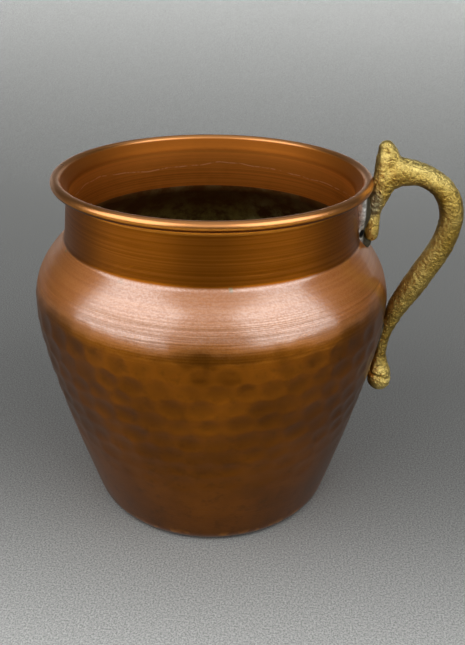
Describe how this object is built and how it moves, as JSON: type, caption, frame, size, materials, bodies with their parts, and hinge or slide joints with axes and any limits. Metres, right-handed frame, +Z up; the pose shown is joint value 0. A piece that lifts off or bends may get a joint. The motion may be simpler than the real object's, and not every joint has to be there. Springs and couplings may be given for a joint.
{
  "type": "handled mug",
  "caption": "Spun copper mug with a hammered belly, a straight neck, a rolled rim, a tinned inside and a cast brass handle soldered to neck and belly.",
  "frame": {"origin": "on the mug's axis, in the plane that the flat underside stands on", "axes": "+Z up along the mug's axis, +X towards the handle, the handle's loop lies in the XZ plane"},
  "size_m": [0.1175, 0.0996, 0.1085],
  "materials": {
    "copper": "worn satin copper, browned",
    "iron_wire": "plain drawn wire",
    "tin": "dull, tarnished",
    "cast_brass": "rough cast, dark in the hollows",
    "solder": "dull silver"
  },
  "bodies": {
    "root": {"body_shell": "copper", "rim_wire": "iron_wire", "tin_lining": "tin", "handle": "cast_brass", "upper_solder": "solder", "lower_solder": "solder"}
  },
  "joints": []
}
